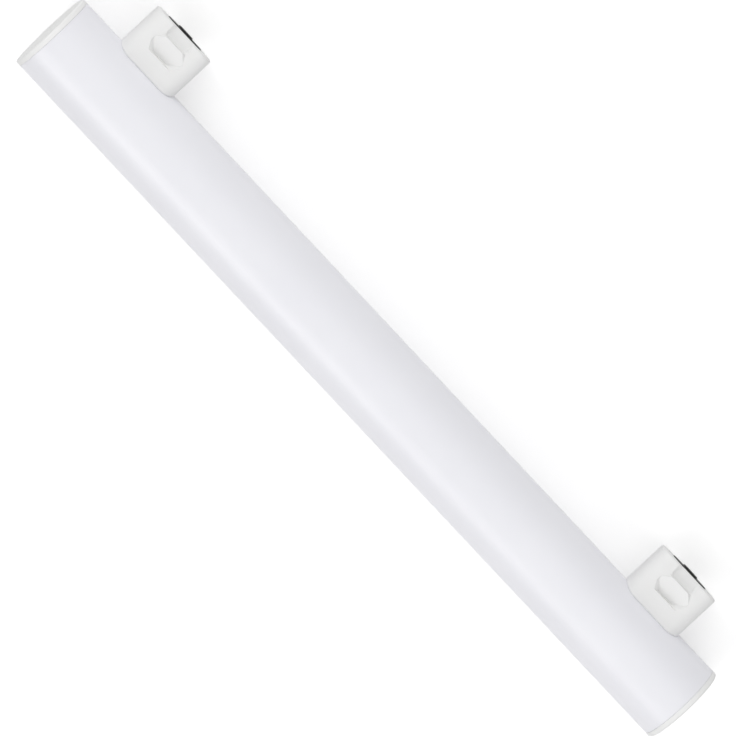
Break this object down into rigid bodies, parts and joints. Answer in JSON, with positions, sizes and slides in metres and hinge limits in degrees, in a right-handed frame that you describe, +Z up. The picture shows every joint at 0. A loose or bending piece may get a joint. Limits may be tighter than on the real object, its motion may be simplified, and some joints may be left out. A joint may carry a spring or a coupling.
{
  "type": "tubular light bulb",
  "caption": "Straight opal tube lamp with plugged ends and moulded snap-in caps on its side, each with a metal contact in its end face, for a linear lampholder.",
  "frame": {"origin": "on the table under the middle of the lamp as it lies at rest, on its tube and on the lower end edges of both lamp caps", "axes": "+X along the tube, +Z up, with the lamp caps towards -Y and dipping about 14 degrees"},
  "size_m": [0.3, 0.0464, 0.0295],
  "materials": {
    "opal_plastic": "satin opal, faintly bluish white",
    "white_plastic": "moulded white, fine satin",
    "contact_metal": "dark plated contact metal"
  },
  "bodies": {
    "root": {"opal_tube": "opal_plastic", "left_end_cap": "white_plastic", "right_end_cap": "white_plastic", "left_lamp_cap": "white_plastic", "right_lamp_cap": "white_plastic", "left_contact_plate": "contact_metal", "right_contact_plate": "contact_metal", "left_contact_rivet": "contact_metal", "right_contact_rivet": "contact_metal"}
  },
  "joints": []
}
